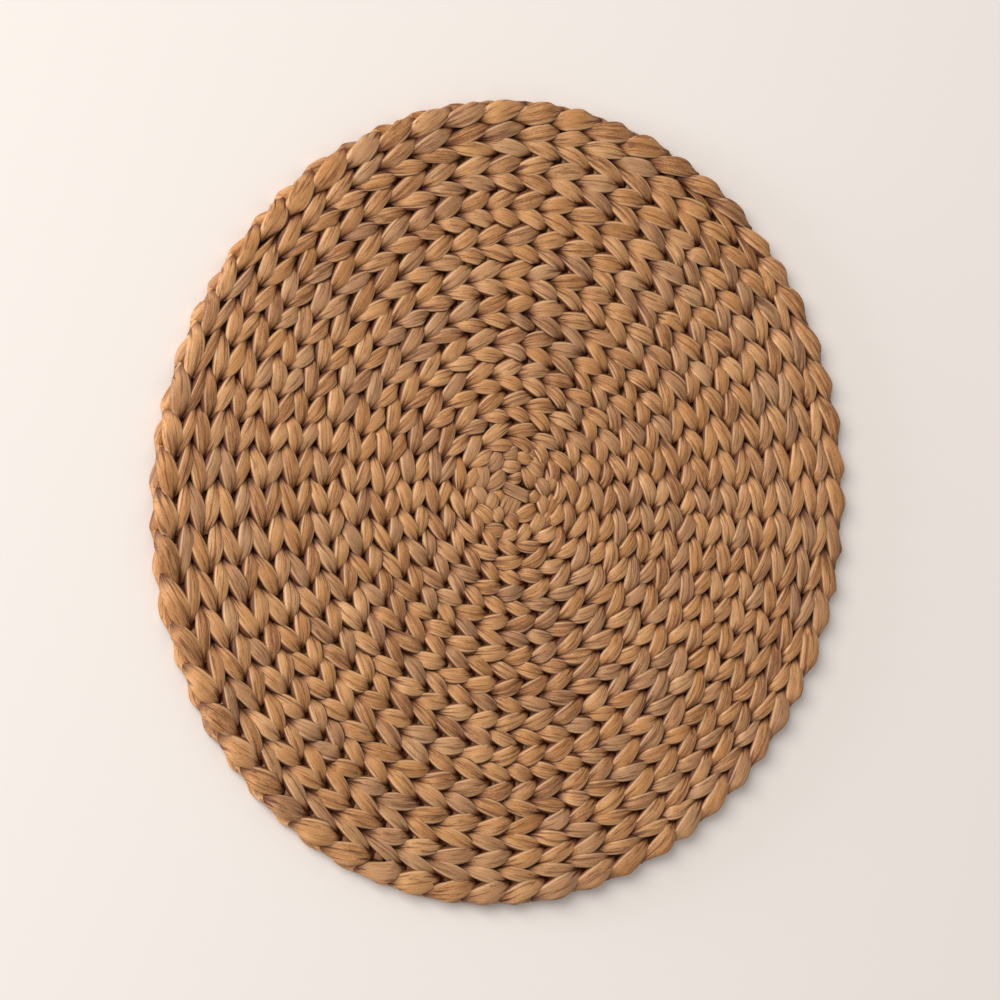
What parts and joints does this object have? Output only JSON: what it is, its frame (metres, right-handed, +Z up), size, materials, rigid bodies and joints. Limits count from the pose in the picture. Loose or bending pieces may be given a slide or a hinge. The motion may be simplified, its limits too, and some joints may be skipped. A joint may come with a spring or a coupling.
{
  "type": "round woven placemat",
  "caption": "Flat round table mat twined from dried water hyacinth in rows that lean opposite ways, with a rounded rim row.",
  "frame": {"origin": "middle of the underside, on the surface that the mat lies on", "axes": "+Z up out of the upper face, X and Y across the mat, with the short row pinched out towards +Y"},
  "size_m": [0.38, 0.38, 0.0106],
  "materials": {
    "water_hyacinth": "dried plant fibre, matt with a faint sheen along the strands"
  },
  "bodies": {
    "root": {"woven_mat": "water_hyacinth"}
  },
  "joints": []
}
